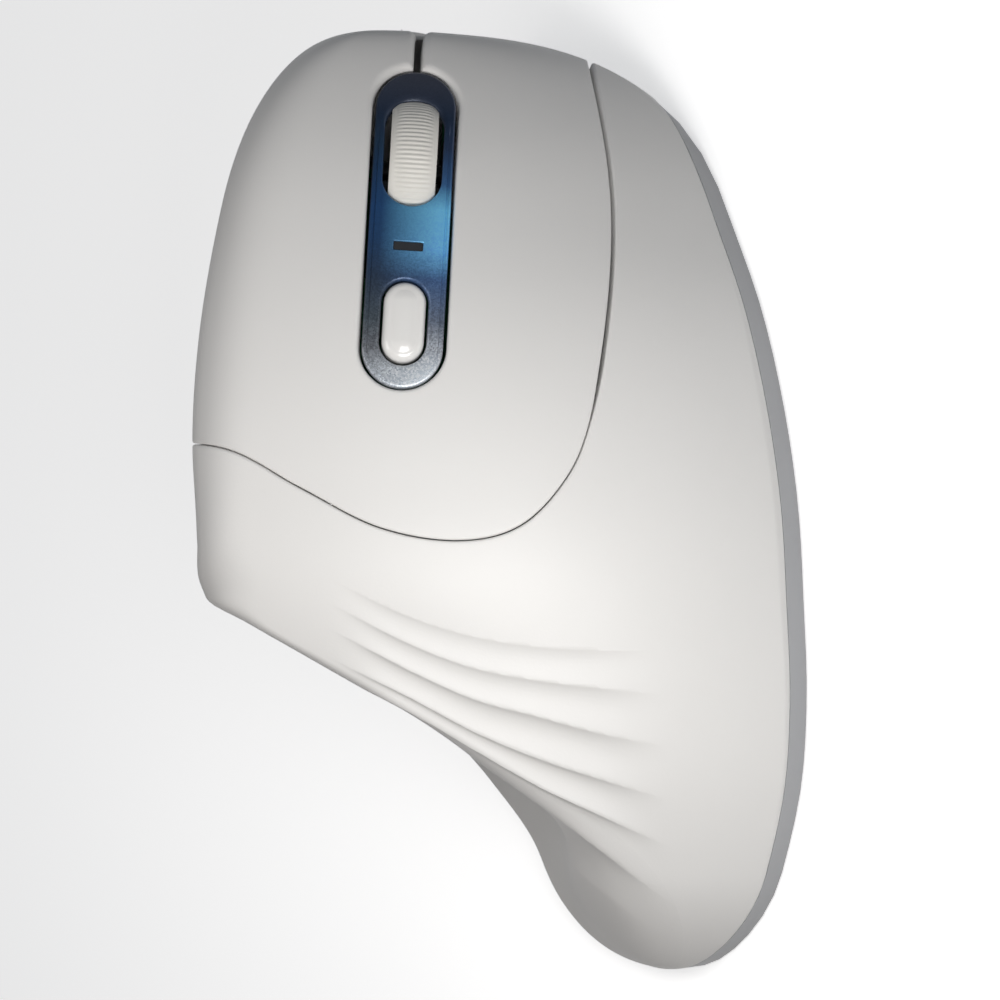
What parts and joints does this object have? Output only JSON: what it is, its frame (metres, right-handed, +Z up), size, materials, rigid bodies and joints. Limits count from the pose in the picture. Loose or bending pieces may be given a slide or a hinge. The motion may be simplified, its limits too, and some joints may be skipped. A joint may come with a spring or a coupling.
{
  "type": "vertical computer mouse",
  "caption": "Right-hand vertical wireless mouse with a tall slanted palm face, split key panel, centre strip with scroll wheel and speed button, and thumb buttons.",
  "frame": {"origin": "middle of the box on the desk, under the glide feet", "axes": "+Z up, +Y to the front of the mouse, +X to the palm side"},
  "size_m": [0.074, 0.123, 0.0607],
  "materials": {
    "white": "fine satin moulded plastic",
    "pale_grey": "fine satin moulded plastic",
    "trim": "metallic paint",
    "button_white": "gloss",
    "tyre": "ribbed",
    "dark_plastic": "satin",
    "lens": "smoked clear",
    "led": "clear",
    "clear": "clear",
    "board": "solder mask",
    "red": "satin",
    "steel": "plated",
    "cell": "printed sleeve",
    "ribbon": "flat",
    "ptfe": "slick"
  },
  "bodies": {
    "housing": {"bottom_case": "pale_grey", "main_shell": "white", "button_bridge": "white", "centre_trim": "trim", "indicator_lens": "lens", "indicator_led": "led", "speed_switch": "dark_plastic", "wheel_switch": "dark_plastic", "inner_frame": "dark_plastic", "button_board": "board", "left_switch": "dark_plastic", "right_switch": "dark_plastic", "side_board": "board", "side_switches": "dark_plastic", "main_board": "board", "radio_chip": "dark_plastic", "sensor_chip": "dark_plastic", "sensor_lens": "clear", "board_cable": "ribbon", "battery_cell": "cell", "battery_spring": "steel", "battery_contact": "steel", "power_switch": "dark_plastic", "glide_feet": "ptfe", "case_screws": "steel", "panel_screws": "steel", "board_screws": "steel"},
    "left_key": {"left_button": "white", "left_plunger": "red"},
    "right_key": {"right_button": "white", "right_plunger": "red"},
    "carriage": {"wheel_carrier": "dark_plastic", "wheel_encoder": "dark_plastic"},
    "wheel": {"wheel_tyre": "tyre", "wheel_hub": "dark_plastic"},
    "speed": {"speed_button": "button_white"},
    "forward": {"forward_button": "pale_grey"},
    "back": {"back_button": "pale_grey"},
    "door": {"battery_door": "pale_grey"},
    "receiver": {"receiver_body": "dark_plastic", "receiver_plug": "steel"},
    "power": {"power_slider": "dark_plastic"}
  },
  "joints": [
    {"name": "left_press", "type": "hinge", "parent": "housing", "child": "left_key", "pos_m": [0.00735, 0.01229, 0.04612], "axis": [-0.6746, 0.0619, 0.7356], "range_deg": [0, 1.05], "stiffness_Nm_per_rad": 0.5},
    {"name": "right_press", "type": "hinge", "parent": "housing", "child": "right_key", "pos_m": [0.00735, 0.01229, 0.04612], "axis": [-0.6746, 0.0619, 0.7356], "range_deg": [0, 1.05], "stiffness_Nm_per_rad": 0.5},
    {"name": "wheel_press", "type": "slide", "parent": "housing", "child": "carriage", "axis": [-0.721, -0.2689, -0.6386], "range_m": [0, 0.0005], "stiffness_N_per_m": 800},
    {"name": "wheel_spin", "type": "hinge", "parent": "carriage", "child": "wheel", "pos_m": [-0.00159, 0.04283, 0.03535], "axis": [0.6746, -0.0619, -0.7356], "continuous": true},
    {"name": "speed_press", "type": "slide", "parent": "housing", "child": "speed", "axis": [-0.7321, -0.1838, -0.656], "range_m": [0, 0.0006], "stiffness_N_per_m": 600},
    {"name": "forward_press", "type": "slide", "parent": "housing", "child": "forward", "axis": [1, 0, 0], "range_m": [0, 0.0007], "stiffness_N_per_m": 600},
    {"name": "back_press", "type": "slide", "parent": "housing", "child": "back", "axis": [1, 0, 0], "range_m": [0, 0.0007], "stiffness_N_per_m": 600},
    {"name": "power_slide", "type": "slide", "parent": "housing", "child": "power", "axis": [0, 1, 0], "range_m": [0, 0.003]},
    {"name": "door_lift", "type": "slide", "parent": "housing", "child": "door", "axis": [0, 0, -1], "range_m": [0, 0.03]},
    {"name": "receiver_pull", "type": "slide", "parent": "housing", "child": "receiver", "axis": [0, 0, -1], "range_m": [0, 0.015]}
  ]
}
